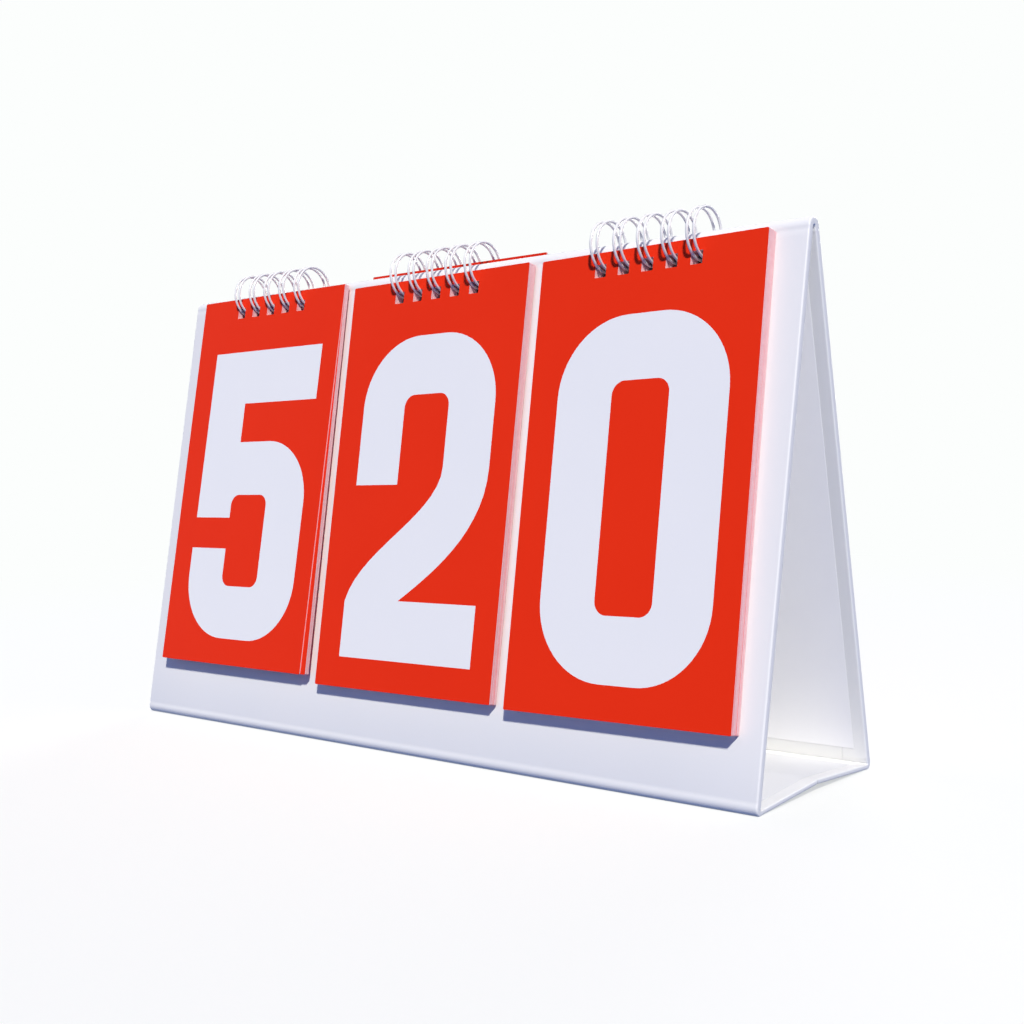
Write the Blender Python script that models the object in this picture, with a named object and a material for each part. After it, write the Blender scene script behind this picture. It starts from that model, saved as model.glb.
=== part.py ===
"""Flip scoreboard: a folding A-frame stand with three pads of numeral cards on twin-loop wires.

Run with: blender --background --python part.py
Units are metres, +Z is up, +X runs along the board and the cards face -Y.

Each face of the stand is laid out in its own frame. A point there has x along the board,
n outwards from the face's hinge axis and u down the slope. The front face has side -1 and
the rear face has side +1.
"""

import math
from dataclasses import dataclass

import bmesh
import bpy
from mathutils import Vector

MM = 0.001

# Stand
BOARD_WIDTH = 406.0 * MM
RIDGE_HEIGHT = 240.0 * MM
FOOT_DEPTH = 102.0 * MM
RIDGE_RADIUS = 4.3 * MM
FOOT_RADIUS = 3.6 * MM
FOOT_FLAT_CUT = 0.35 * MM
FOLD_THICKNESS = 1.2 * MM
CREASE_RISE = 3.0 * MM

# Layers of a face, from the outside in
COVER_THICKNESS = 0.35 * MM
GLUE_GAP = 0.2 * MM
PANEL_CORE_THICKNESS = 2.3 * MM
BASE_CORE_THICKNESS = 1.1 * MM
LINER_THICKNESS = 0.3 * MM
TURN_IN = 12.0 * MM
LINER_INSET = 6.0 * MM
PANEL_LINER_TOP = 15.0 * MM
PIECE_GAP = 0.3 * MM
SIDE_GAP = 0.3 * MM

# Base when it folds up between the faces
BASE_SKIN_LIFT = 0.4 * MM
FOLDED_FOOT_SLACK = 1.3 * MM
FOLDED_BASE_LEAN = math.radians(0.9)
BASE_FOLD_CLEARANCE = 0.3 * MM
CREASE_NOTCH_WIDTH = 1.0 * MM
CREASE_NOTCH_DEPTH = 1.4 * MM

# Cards, three pads of them side by side within the board's margins
BOARD_MARGIN = 15.3 * MM
PAD_GAP = 8.75 * MM
CARD_HEIGHT = 209.0 * MM
CARD_THICKNESS = 0.25 * MM
CARD_HOLE = 6.0 * MM
CARD_HOLE_MARGIN = 5.5 * MM
HOLE_PITCH = 12.7 * MM
HOLES_PER_CARD = 5
FRONT_CARD_PITCH = 0.6 * MM
BACK_CARD_PITCH = 0.45 * MM
BACK_CARD_STANDOFF = 0.4 * MM
CARDS_PER_PAD = 10

# Twin-loop wires
LOOP_RADIUS = 11.4 * MM
WIRE_RADIUS = 0.63 * MM
PAIR_SPACING = 3.5 * MM
LOOP_POINTS = 18
LOOP_MOUTH = 2.0 * MM
HANG_GAP = 0.2 * MM
SLOT_CLEARANCE = 0.5 * MM
PANEL_HOLE_WIDTH = 6.0 * MM
PANEL_HOLE_HEIGHT = 6.0 * MM

# The pads from left to right: their names, the numerals they show, how far each shown
# card stands off the front face, and where the centre of each pad's wire loops lies,
# behind (+) or in front (-) of the ridge axis and above it.
PAD_NAMES = ("left", "middle", "right")
SHOWN_NUMERALS = "520"
CARD_STANDOFFS = (4.6 * MM, 5.5 * MM, 5.85 * MM)
LOOP_CENTRES = ((-2.03 * MM, 4.0 * MM), (-4.35 * MM, 2.6 * MM), (-5.35 * MM, 2.7 * MM))

# How each pad's cards hang, from left to right: the angle by which the foot of the shown
# card swings to the right, the same for the cards behind it, the angle by which the front
# cards stand off the face, and how far the cards turned over ride up on the wires.
SHOWN_TILTS = (math.radians(0.2), math.radians(0.5), math.radians(0.8))
STACK_TILTS = (math.radians(0.3), math.radians(0.5), math.radians(0.8))
STAND_OFF_ANGLES = (math.radians(0.5), 0.0, 0.0)
BACK_CARD_LIFTS = (0.0, 0.9 * MM, 0.0)

FRONT = -1
REAR = 1
FOLD_STEPS = 20
ARC_STEP = math.radians(15.0)
AXIS_MARK = 10.0 * MM

WHITE_COVER = (0.76, 0.77, 0.82)
LINER_WHITE = (0.83, 0.84, 0.88)
BOARD_GREY = (0.45, 0.43, 0.40)
CARD_RED = (0.77, 0.03, 0.01)
WIRE_WHITE = (0.90, 0.90, 0.91)

# The stand's outline, worked out from the sizes above
RIDGE_AXIS = (0.0, RIDGE_HEIGHT - RIDGE_RADIUS)
FOOT_AXIS_HEIGHT = FOOT_RADIUS - FOOT_FLAT_CUT
FOOT_AXIS_REACH = FOOT_DEPTH / 2 - FOOT_RADIUS
AXIS_DROP = RIDGE_AXIS[1] - FOOT_AXIS_HEIGHT
AXIS_DISTANCE = math.hypot(FOOT_AXIS_REACH, AXIS_DROP)
AXIS_LEAN = math.atan2(FOOT_AXIS_REACH, AXIS_DROP)
LEAN = AXIS_LEAN - math.asin((RIDGE_RADIUS - FOOT_RADIUS) / AXIS_DISTANCE)
FACE_LENGTH = math.sqrt(AXIS_DISTANCE**2 - (RIDGE_RADIUS - FOOT_RADIUS) ** 2)
BASE_SKIN_OFFSET = FOOT_RADIUS - BASE_SKIN_LIFT
BASE_SLOPE = math.atan2(CREASE_RISE + BASE_SKIN_OFFSET - FOOT_AXIS_HEIGHT, FOOT_AXIS_REACH)
RIDGE_FOLD = 2 * (AXIS_LEAN - math.asin((FOOT_RADIUS + FOLDED_FOOT_SLACK) / AXIS_DISTANCE))
BASE_FOLD = math.pi / 2 - LEAN - BASE_SLOPE - FOLDED_BASE_LEAN

# The pads' width and spacing, worked out from the board's width
CARD_WIDTH = (BOARD_WIDTH - 2 * BOARD_MARGIN - 2 * PAD_GAP) / 3
PAD_SPACING = CARD_WIDTH + PAD_GAP


def panel_layers(core):
    """Depths below the outer skin at which each layer of a face starts and ends."""
    cover_end = COVER_THICKNESS
    core_start = cover_end + GLUE_GAP
    core_end = core_start + core
    turn_start = core_end + GLUE_GAP
    turn_end = turn_start + COVER_THICKNESS
    liner_start = turn_end + GLUE_GAP
    return {
        "core": (core_start, core_end),
        "turn_in": (turn_start, turn_end),
        "liner": (liner_start, liner_start + LINER_THICKNESS),
    }


PANEL = panel_layers(PANEL_CORE_THICKNESS)
BASE = panel_layers(BASE_CORE_THICKNESS)


def make_material(name, colour, roughness, metallic=0.0):
    """A Principled material with one plain colour."""
    material = bpy.data.materials.new(name)
    material.use_nodes = True
    shader = material.node_tree.nodes["Principled BSDF"]
    shader.inputs["Base Color"].default_value = (*colour, 1.0)
    shader.inputs["Roughness"].default_value = roughness
    shader.inputs["Metallic"].default_value = metallic
    return material


def make_collection(name):
    """A new collection linked to the scene."""
    collection = bpy.data.collections.new(name)
    bpy.context.scene.collection.children.link(collection)
    return collection


def make_empty(name, location, turn, collection):
    """An empty at a hinge axis, turned about X so that its axes follow a face."""
    empty = bpy.data.objects.new(name, None)
    empty.empty_display_size = AXIS_MARK
    empty.location = location
    empty.rotation_euler = (turn, 0.0, 0.0)
    collection.objects.link(empty)
    return empty


def add_object(name, mesh, material, parent, collection):
    """An object for a finished mesh, hung on its parent."""
    part = bpy.data.objects.new(name, mesh)
    mesh.materials.clear()
    mesh.materials.append(material)
    part.parent = parent
    collection.objects.link(part)
    return part


def box_mesh(name, boxes):
    """A mesh of one cube primitive for each (low corner, high corner)."""
    shape = bmesh.new()
    for low, high in boxes:
        low, high = Vector(low), Vector(high)
        made = bmesh.ops.create_cube(shape, size=1.0)
        bmesh.ops.scale(shape, vec=high - low, verts=made["verts"])
        bmesh.ops.translate(shape, vec=(low + high) / 2, verts=made["verts"])
    mesh = bpy.data.meshes.new(name)
    shape.to_mesh(mesh)
    shape.free()
    return mesh


def outline_mesh(name, outlines, thickness):
    """A flat outline, with any holes as further outlines, filled and extruded along Z."""
    curve = bpy.data.curves.new(name, "CURVE")
    curve.dimensions = "2D"
    curve.fill_mode = "BOTH"
    curve.extrude = thickness / 2
    for outline in outlines:
        spline = curve.splines.new("POLY")
        spline.points.add(len(outline) - 1)
        for point, (across, along) in zip(spline.points, outline):
            point.co = (across, along, 0.0, 1.0)
        spline.use_cyclic_u = True
    return mesh_of_curve(name, curve)


def mesh_of_curve(name, curve):
    """The closed mesh of a curve, with its loose caps welded on."""
    holder = bpy.data.objects.new(name + "_curve", curve)
    bpy.context.scene.collection.objects.link(holder)
    bpy.context.view_layer.update()
    evaluated = holder.evaluated_get(bpy.context.evaluated_depsgraph_get())
    mesh = bpy.data.meshes.new_from_object(evaluated)
    mesh.name = name
    shape = bmesh.new()
    shape.from_mesh(mesh)
    bmesh.ops.remove_doubles(shape, verts=shape.verts, dist=0.001 * MM)
    bmesh.ops.recalc_face_normals(shape, faces=shape.faces)
    shape.to_mesh(mesh)
    shape.free()
    bpy.data.objects.remove(holder)
    return mesh


def rectangle(low_x, low_y, high_x, high_y):
    """The four corners of a rectangle, counter-clockwise."""
    return [(low_x, low_y), (high_x, low_y), (high_x, high_y), (low_x, high_y)]


def arc_points(centre, radius, start, end):
    """Points along an arc in the plane of a side view, at most ARC_STEP apart."""
    steps = max(2, math.ceil(abs(end - start) / ARC_STEP))
    angles = [start + (end - start) * step / steps for step in range(steps + 1)]
    return [(centre[0] + radius * math.cos(a), centre[1] + radius * math.sin(a)) for a in angles]


def add_profile(name, side_view, material, parent, collection):
    """A side-view outline, its points (y, z), drawn out along the whole board."""
    mesh = outline_mesh(name, [side_view], BOARD_WIDTH)
    part = add_object(name, mesh, material, parent, collection)
    part.rotation_euler = (math.pi / 2, 0.0, math.pi / 2)
    return part


def add_cutter(name, boxes, parent, cutters):
    """A hidden cutter made of boxes."""
    cutter = bpy.data.objects.new(name, box_mesh(name, boxes))
    cutter.parent = parent
    cutter.display_type = "WIRE"
    cutter.hide_render = True
    cutters.objects.link(cutter)
    return cutter


def cut_with(part, cutter):
    """Cut a part with a hidden cutter."""
    modifier = part.modifiers.new("wire_holes", "BOOLEAN")
    modifier.operation = "DIFFERENCE"
    modifier.solver = "EXACT"
    modifier.object = cutter


def loop_centre_in_face(centre, side, fold=0.0):
    """A pad's loop centre as (n, u) in the frame of a face that has folded in by an angle."""
    lean = LEAN - fold
    along, up = centre
    n = side * along * math.cos(lean) + up * math.sin(lean)
    u = side * along * math.sin(lean) - up * math.cos(lean)
    return n, u


def loop_span(centre, side, near, far, fold=0.0):
    """Lowest and highest u at which the wire crosses the layer between two values of n.

    The wire is drawn as straight stretches, so its inner side is taken at their middles.
    """
    centre_n, centre_u = loop_centre_in_face(centre, side, fold)
    half_step = loop_sweep() / (LOOP_POINTS - 1) / 2
    inner = LOOP_RADIUS * math.cos(half_step) - WIRE_RADIUS
    outer = LOOP_RADIUS + WIRE_RADIUS
    reaches = []
    for n in (near, far):
        for radius in (inner, outer):
            reaches.append(centre_u + math.sqrt(max(0.0, radius**2 - (n - centre_n) ** 2)))
    return min(reaches), max(reaches)


def loop_sweep():
    """Angle that one arc of a twin loop covers, from its foot to its closed tip."""
    return 2 * math.pi - 2 * math.asin(LOOP_MOUTH / LOOP_RADIUS / 2)


def hole_places():
    """Where the holes lie across a card, from its middle."""
    first = -(HOLES_PER_CARD - 1) / 2 * HOLE_PITCH
    return [first + HOLE_PITCH * hole for hole in range(HOLES_PER_CARD)]


@dataclass(frozen=True)
class Pad:
    """One pad: its place along the board, what it shows and how its cards hang."""

    name: str
    middle: float
    shown: int
    standoff: float
    centre: tuple
    shown_tilt: float
    stack_tilt: float
    stand_off: float
    back_lift: float


def pads():
    """The pads from left to right."""
    made = []
    for order, name in enumerate(PAD_NAMES):
        made.append(
            Pad(
                name,
                (order - 1) * PAD_SPACING,
                int(SHOWN_NUMERALS[order]),
                CARD_STANDOFFS[order],
                LOOP_CENTRES[order],
                SHOWN_TILTS[order],
                STACK_TILTS[order],
                STAND_OFF_ANGLES[order],
                BACK_CARD_LIFTS[order],
            )
        )
    return made


def pad_holes():
    """Where every wire loop lies along the board, with its pad's loop centre."""
    return [(pad.middle + hole, pad.centre) for pad in pads() for hole in hole_places()]


def front_holes():
    """Boxes cut through the front face for the wires, in its own frame."""
    near, far = RIDGE_RADIUS - PANEL["turn_in"][1], RIDGE_RADIUS
    boxes = []
    for x, centre in pad_holes():
        low, high = loop_span(centre, FRONT, near, far)
        middle = (low + high) / 2
        reach = PANEL_HOLE_HEIGHT / 2
        boxes.append(through_box(x, middle - reach, middle + reach, FRONT))
    return boxes


def rear_slots():
    """Boxes cut through the rear face, long enough for the wires as the stand folds."""
    near, far = RIDGE_RADIUS - PANEL["turn_in"][1], RIDGE_RADIUS
    boxes = []
    for x, centre in pad_holes():
        spans = []
        for step in range(FOLD_STEPS + 1):
            spans += loop_span(centre, REAR, near, far, RIDGE_FOLD * step / FOLD_STEPS)
        boxes.append(through_box(x, min(spans) - SLOT_CLEARANCE, max(spans) + SLOT_CLEARANCE, REAR))
    return boxes


def through_box(x, top, bottom, side):
    """A box that runs right through a face, from one place down the slope to another."""
    inner = RIDGE_RADIUS - PANEL["liner"][1] - PIECE_GAP
    outer = RIDGE_RADIUS + PIECE_GAP
    low_y, high_y = sorted((side * inner, side * outer))
    half = PANEL_HOLE_WIDTH / 2
    return (x - half, low_y, -bottom), (x + half, high_y, -top)


def wrapped_cover(layers, outer):
    """Side-to-side outline of a cover: a skin wrapped round both edges of its board.

    Its points are (x, depth below the skin), mirrored about the middle of the board.
    """
    half = BOARD_WIDTH / 2
    inside = half - COVER_THICKNESS
    turn_start, turn_end = layers["turn_in"]
    right = [
        (half, 0.0),
        (half, turn_end),
        (half - TURN_IN, turn_end),
        (half - TURN_IN, turn_start),
        (inside, turn_start),
        (inside, COVER_THICKNESS),
    ]
    left = [(-x, depth) for x, depth in reversed(right)]
    return [(x, outer - depth) for x, depth in right + left]


def add_panel(name, side, frame, skins, cutter, collection):
    """A sloping face of the stand: its board core, its wrapped cover and its liner."""
    cover_skin, board, liner_skin = skins
    top, bottom = PIECE_GAP, FACE_LENGTH - PIECE_GAP
    outline = [(x, side * n) for x, n in wrapped_cover(PANEL, RIDGE_RADIUS)]
    cover = add_object(
        name + "_cover",
        outline_mesh(name + "_cover", [outline], bottom - top),
        cover_skin,
        frame,
        collection,
    )
    cover.location = (0.0, 0.0, -(top + bottom) / 2)
    half_core = BOARD_WIDTH / 2 - COVER_THICKNESS - SIDE_GAP
    core = add_face_layer(name + "_core", side, PANEL["core"], half_core, (top, bottom), frame)
    half_liner = BOARD_WIDTH / 2 - LINER_INSET
    liner_run = (PANEL_LINER_TOP, FACE_LENGTH - LINER_INSET)
    liner = add_face_layer(name + "_liner", side, PANEL["liner"], half_liner, liner_run, frame)
    finish_layer(core, board, collection)
    finish_layer(liner, liner_skin, collection)
    cut_with(cover, cutter)
    cut_with(core, cutter)


def add_face_layer(name, side, depths, half_width, run, frame):
    """A flat layer of a face, between two depths below its skin."""
    start, end = depths
    low_y, high_y = sorted((side * (RIDGE_RADIUS - start), side * (RIDGE_RADIUS - end)))
    low = (-half_width, low_y, -run[1])
    high = (half_width, high_y, -run[0])
    layer = bpy.data.objects.new(name, box_mesh(name, [(low, high)]))
    layer.parent = frame
    return layer


def finish_layer(layer, material, collection):
    """Give a layer its material and link it."""
    layer.data.materials.append(material)
    collection.objects.link(layer)


def base_board_reach():
    """How far a base board runs from its foot axis without meeting the other half.

    Both halves turn together with the ridge, so they come closest part of the way in.
    """
    reach = FOOT_AXIS_REACH
    for step in range(FOLD_STEPS + 1):
        share = step / FOLD_STEPS
        slope = BASE_SLOPE + (BASE_FOLD + RIDGE_FOLD / 2) * share
        half_gap = AXIS_DISTANCE * math.sin(AXIS_LEAN - RIDGE_FOLD / 2 * share)
        room = half_gap - BASE_FOLD_CLEARANCE - BASE_SKIN_OFFSET * math.sin(slope)
        if math.cos(slope) * reach > room:
            reach = room / math.cos(slope)
    return reach


def foot_flat_reach():
    """Half the width of the flat under a foot fold."""
    return math.sqrt(FOOT_RADIUS**2 - FOOT_AXIS_HEIGHT**2)


def add_base_half(name, side, frame, skins, collection):
    """Half of the base: its board core, its wrapped cover underneath and its liner on top."""
    cover_skin, board, liner_skin = skins
    start = foot_flat_reach() + PIECE_GAP
    end = base_board_reach()
    outline = wrapped_cover(BASE, 0.0)
    cover = add_object(
        name + "_cover",
        outline_mesh(name + "_cover", [outline], end - start),
        cover_skin,
        frame,
        collection,
    )
    cover.rotation_euler = (-math.pi / 2, 0.0, 0.0)
    cover.location = (0.0, -side * (start + end) / 2, -BASE_SKIN_OFFSET)
    half_core = BOARD_WIDTH / 2 - COVER_THICKNESS - SIDE_GAP
    half_liner = BOARD_WIDTH / 2 - LINER_INSET
    for layer, half_width, run, skin in (
        ("core", half_core, (start, end), board),
        ("liner", half_liner, (start + LINER_INSET, end), liner_skin),
    ):
        low_z = BASE[layer][0] - BASE_SKIN_OFFSET
        high_z = BASE[layer][1] - BASE_SKIN_OFFSET
        low_y, high_y = sorted((-side * run[0], -side * run[1]))
        low = (-half_width, low_y, low_z)
        high = (half_width, high_y, high_z)
        layer_mesh = box_mesh(name + "_" + layer, [(low, high)])
        add_object(name + "_" + layer, layer_mesh, skin, frame, collection)


def add_ridge_spine(material, frame, collection):
    """The cover's bridge over the ridge, a half-round strip about the hinge axis."""
    start, end = LEAN, math.pi - LEAN
    outer = arc_points((0.0, 0.0), RIDGE_RADIUS, start, end)
    inner = arc_points((0.0, 0.0), RIDGE_RADIUS - FOLD_THICKNESS, end, start)
    return add_profile("ridge_spine", outer + inner, material, frame, collection)


def add_foot_fold(name, side, material, frame, collection):
    """The rounded fold under one face, with a flat underside that the stand rests on."""
    flat = math.acos(FOOT_AXIS_HEIGHT / FOOT_RADIUS)
    face = math.pi - LEAN
    ground = 1.5 * math.pi
    outer = arc_points((0.0, 0.0), FOOT_RADIUS, face, ground - flat)
    outer.append((foot_flat_reach(), -FOOT_AXIS_HEIGHT))
    inner_radius = FOOT_RADIUS - FOLD_THICKNESS
    inner = arc_points((0.0, 0.0), inner_radius, ground + flat, face)
    side_view = [(-side * y, z) for y, z in outer + inner]
    return add_profile(name, side_view, material, frame, collection)


def add_base_crease(material, collection):
    """The flexible strip in the middle of the base, raised along its scored crease."""
    reach = base_board_reach() + PIECE_GAP
    thickness = BASE["turn_in"][1]
    across = Vector((math.cos(BASE_SLOPE), math.sin(BASE_SLOPE)))
    normal = Vector((-math.sin(BASE_SLOPE), math.cos(BASE_SLOPE)))
    foot = Vector((-FOOT_AXIS_REACH, FOOT_AXIS_HEIGHT)) - normal * BASE_SKIN_OFFSET
    low_edge = foot + across * reach
    high_edge = low_edge + normal * thickness
    half_notch = CREASE_NOTCH_WIDTH / 2
    under = foot.y - math.tan(BASE_SLOPE) * (half_notch + foot.x)
    tip_height = foot.y - math.tan(BASE_SLOPE) * foot.x + CREASE_NOTCH_DEPTH
    top_height = high_edge.y - math.tan(BASE_SLOPE) * high_edge.x
    left = [tuple(high_edge), tuple(low_edge), (-half_notch, under)]
    right = [(-y, z) for y, z in reversed(left)]
    side_view = left + [(0.0, tip_height)] + right + [(0.0, top_height)]
    return add_profile("base_crease", side_view, material, None, collection)


def card_outlines():
    """Outline of a card and of its holes, (across, up), measured from the middle of its top."""
    half = CARD_WIDTH / 2
    outlines = [rectangle(-half, -CARD_HEIGHT, half, 0.0)]
    for x in hole_places():
        low, high = x - CARD_HOLE / 2, x + CARD_HOLE / 2
        outlines.append(rectangle(low, -CARD_HOLE_MARGIN - CARD_HOLE, high, -CARD_HOLE_MARGIN))
    return outlines


def swung(across, up, tilt):
    """Where a card's point goes as its foot swings right about the middle of its holes."""
    below = -CARD_HOLE_MARGIN - up
    new_across = across * math.cos(tilt) + below * math.sin(tilt)
    new_below = below * math.cos(tilt) - across * math.sin(tilt)
    return new_across, -CARD_HOLE_MARGIN - new_below


def tilt_rise(tilt):
    """How far a card's middle rises when it swings until its end hole rests on the wire."""
    return (hole_places()[-1] + CARD_HOLE / 2) * abs(math.sin(tilt))


def card_layout(pad):
    """(numeral, side, n of its middle, u of its top edge, tilt) for each card of a pad.

    Cards after the shown one lie behind it on the front, and those before it hang at the
    back. Each stack's top edge is set by the highest place where the wires cross it.
    """
    front = []
    for order in range(CARDS_PER_PAD - pad.shown):
        tilt = pad.stack_tilt if order else pad.shown_tilt
        n = RIDGE_RADIUS + pad.standoff - order * FRONT_CARD_PITCH
        front.append((pad.shown + order, n, tilt, tilt_rise(tilt)))
    back = []
    for numeral in range(pad.shown):
        n = RIDGE_RADIUS + BACK_CARD_STANDOFF + numeral * BACK_CARD_PITCH
        back.append((numeral, n, 0.0, pad.back_lift))
    layout = []
    for side, stack, folds in ((FRONT, front, [0.0]), (REAR, back, fold_angles())):
        hang = stack_hang(pad.centre, side, [n for _numeral, n, _tilt, _rise in stack], folds)
        for numeral, n, tilt, rise in stack:
            layout.append((numeral, side, n, hang - rise, tilt))
    return layout


def stack_hang(centre, side, depths, folds):
    """u of the top edge of a stack of level cards that just clears the wires at every fold."""
    half = CARD_THICKNESS / 2
    spans = [loop_span(centre, side, n - half, n + half, fold)[0] for n in depths for fold in folds]
    return min(spans, default=0.0) - HANG_GAP - CARD_HOLE_MARGIN


def fold_angles():
    """Ridge angles from open to folded."""
    return [RIDGE_FOLD * step / FOLD_STEPS for step in range(FOLD_STEPS + 1)]


def add_cards(frames, material, collection):
    """Every card, with its origin at its pad's loop centre, about which it turns."""
    for pad in pads():
        for numeral, side, n, top, tilt in card_layout(pad):
            name = f"{pad.name}_card_{numeral}"
            centre_n, centre_u = loop_centre_in_face(pad.centre, side)
            mesh = outline_mesh(name, card_outlines(), CARD_THICKNESS)
            hang_mesh(mesh, side * (n - centre_n), centre_u - top, tilt)
            if side == FRONT:
                stand_off_mesh(mesh, pad.stand_off)
            card = add_object(name, mesh, material, frames[side], collection)
            card.location = (pad.middle, side * centre_n, -centre_u)


def hang_mesh(mesh, depth, rise, tilt):
    """Turn a flat card's mesh upright, its thickness along Y, swing it and move it into place."""
    for vertex in mesh.vertices:
        across, up = swung(vertex.co.x, vertex.co.y, tilt)
        vertex.co = (across, depth - vertex.co.z, up + rise)


def stand_off_mesh(mesh, angle):
    """Turn a front card's mesh about its origin, the loop centre, so that its foot moves out."""
    for vertex in mesh.vertices:
        across, depth, up = vertex.co
        new_depth = depth * math.cos(angle) + up * math.sin(angle)
        new_up = up * math.cos(angle) - depth * math.sin(angle)
        vertex.co = (across, new_depth, new_up)


def wire_route(pad_centre):
    """Centreline of one pad's twin-loop wire, in the front face's frame.

    The wire runs as one length. At each hole it leaves its foot behind the front face,
    goes round through the face and over the ridge to its tip, crosses to the pair's other
    arc and comes back, and then runs along behind the face to the next hole.
    """
    centre_n, centre_u = loop_centre_in_face(pad_centre, FRONT)
    foot_n = RIDGE_RADIUS - PANEL["turn_in"][1] - GLUE_GAP - WIRE_RADIUS
    foot_angle = math.acos((foot_n - centre_n) / LOOP_RADIUS)
    half_pair = PAIR_SPACING / 2
    arc = []
    for step in range(LOOP_POINTS):
        angle = foot_angle - loop_sweep() * step / (LOOP_POINTS - 1)
        n = centre_n + LOOP_RADIUS * math.cos(angle)
        u = centre_u + LOOP_RADIUS * math.sin(angle)
        arc.append((-n, -u))
    route = []
    for x in hole_places():
        route += [(x - half_pair, y, z) for y, z in arc]
        route += [(x + half_pair, y, z) for y, z in reversed(arc)]
    return route


def least_self_gap(route):
    """Least gap from the wire's surface to itself, between stretches that aren't neighbours."""
    dense = []
    for start, end in zip(route, route[1:]):
        start, end = Vector(start), Vector(end)
        steps = max(1, math.ceil((end - start).length / WIRE_RADIUS))
        for step in range(steps):
            dense.append(start.lerp(end, step / steps))
    neighbours = 8
    least = BOARD_WIDTH
    for first, point in enumerate(dense):
        for other in dense[first + neighbours :]:
            least = min(least, (point - other).length)
    return least - 2 * WIRE_RADIUS


def add_wires(frame, material, collection):
    """The three twin-loop wires, each one unbroken tube."""
    for pad in pads():
        route = wire_route(pad.centre)
        name = pad.name + "_wire"
        curve = bpy.data.curves.new(name, "CURVE")
        curve.dimensions = "3D"
        curve.bevel_depth = WIRE_RADIUS
        curve.bevel_resolution = 1
        curve.use_fill_caps = True
        spline = curve.splines.new("POLY")
        spline.points.add(len(route) - 1)
        for point, (x, y, z) in zip(spline.points, route):
            point.co = (pad.middle + x, y, z, 1.0)
        wire = add_object(name, mesh_of_curve(name, curve), material, frame, collection)
        wire.data.shade_smooth()
        gap = least_self_gap(route)
        print(f"{name}: least gap to itself {gap / MM:.2f} mm")


def add_stand(frames, feet, skins, collection, cutters):
    """The folding stand: two faces, the base between them and the folds that join them."""
    cover_skin = skins[0]
    front_cutter = add_cutter("front_wire_holes", front_holes(), frames[FRONT], cutters)
    rear_cutter = add_cutter("rear_wire_slots", rear_slots(), frames[REAR], cutters)
    add_panel("front_panel", FRONT, frames[FRONT], skins, front_cutter, collection)
    add_panel("rear_panel", REAR, frames[REAR], skins, rear_cutter, collection)
    add_base_half("base_front", FRONT, feet[FRONT], skins, collection)
    add_base_half("base_rear", REAR, feet[REAR], skins, collection)
    ridge = make_empty("ridge_axis", (0.0, *RIDGE_AXIS), 0.0, collection)
    add_ridge_spine(cover_skin, ridge, collection)
    for name, side in (("front_foot_fold", FRONT), ("rear_foot_fold", REAR)):
        place = (0.0, side * FOOT_AXIS_REACH, FOOT_AXIS_HEIGHT)
        axis = make_empty(name + "_axis", place, 0.0, collection)
        add_foot_fold(name, side, cover_skin, axis, collection)
    add_base_crease(cover_skin, collection)


def main():
    """Build the scoreboard."""
    for old in list(bpy.data.objects):
        bpy.data.objects.remove(old)
    collection = make_collection("flip_scoreboard")
    cutters = make_collection("cutters")
    skins = (
        make_material("cover_white", WHITE_COVER, 0.5),
        make_material("board_grey", BOARD_GREY, 0.9),
        make_material("liner_white", LINER_WHITE, 0.6),
    )
    card_paper = make_material("card_red", CARD_RED, 0.55)
    wire_coat = make_material("wire_white", WIRE_WHITE, 0.35)
    ridge = (0.0, *RIDGE_AXIS)
    frames = {
        FRONT: make_empty("front_face_frame", ridge, -LEAN, collection),
        REAR: make_empty("rear_face_frame", ridge, LEAN, collection),
    }
    front_foot = (0.0, -FOOT_AXIS_REACH, FOOT_AXIS_HEIGHT)
    rear_foot = (0.0, FOOT_AXIS_REACH, FOOT_AXIS_HEIGHT)
    feet = {
        FRONT: make_empty("front_foot_frame", front_foot, BASE_SLOPE, collection),
        REAR: make_empty("rear_foot_frame", rear_foot, -BASE_SLOPE, collection),
    }
    add_stand(frames, feet, skins, collection, cutters)
    add_cards(frames, card_paper, collection)
    add_wires(frames[FRONT], wire_coat, collection)


main()
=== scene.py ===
"""Looks of the flip scoreboard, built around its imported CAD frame.

All sizes are metres in the row's frame: +X runs along the board, the shown numerals face
-Y and +Z is up. A place on a face of the stand is written (x, n, u): x along the board,
n outwards from the ridge axis and u down the slope.
"""

import logging
import math
import random
from dataclasses import dataclass
from enum import Enum
from functools import cache

import bmesh
import bpy
from mathutils import Matrix, Vector
from mathutils.geometry import delaunay_2d_cdt


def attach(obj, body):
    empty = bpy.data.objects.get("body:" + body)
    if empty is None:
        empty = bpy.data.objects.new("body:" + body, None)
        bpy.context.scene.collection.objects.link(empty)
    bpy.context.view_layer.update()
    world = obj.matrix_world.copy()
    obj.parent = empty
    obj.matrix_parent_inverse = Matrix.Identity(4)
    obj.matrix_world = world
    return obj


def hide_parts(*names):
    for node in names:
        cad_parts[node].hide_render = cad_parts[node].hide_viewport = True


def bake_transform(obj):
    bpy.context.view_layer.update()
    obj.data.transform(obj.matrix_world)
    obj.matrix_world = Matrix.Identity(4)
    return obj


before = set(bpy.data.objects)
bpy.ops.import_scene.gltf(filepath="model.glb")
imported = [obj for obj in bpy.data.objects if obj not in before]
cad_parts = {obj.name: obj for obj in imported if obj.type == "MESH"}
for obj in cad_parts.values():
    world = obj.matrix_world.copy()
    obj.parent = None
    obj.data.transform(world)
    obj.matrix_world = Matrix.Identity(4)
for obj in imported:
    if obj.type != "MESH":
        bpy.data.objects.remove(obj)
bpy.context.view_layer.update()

MM = 0.001
LOG = logging.getLogger("flip_scoreboard")

Point = tuple[float, float]
Outline = list[Point]
Corners = list[tuple[float, float, float]]

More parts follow.
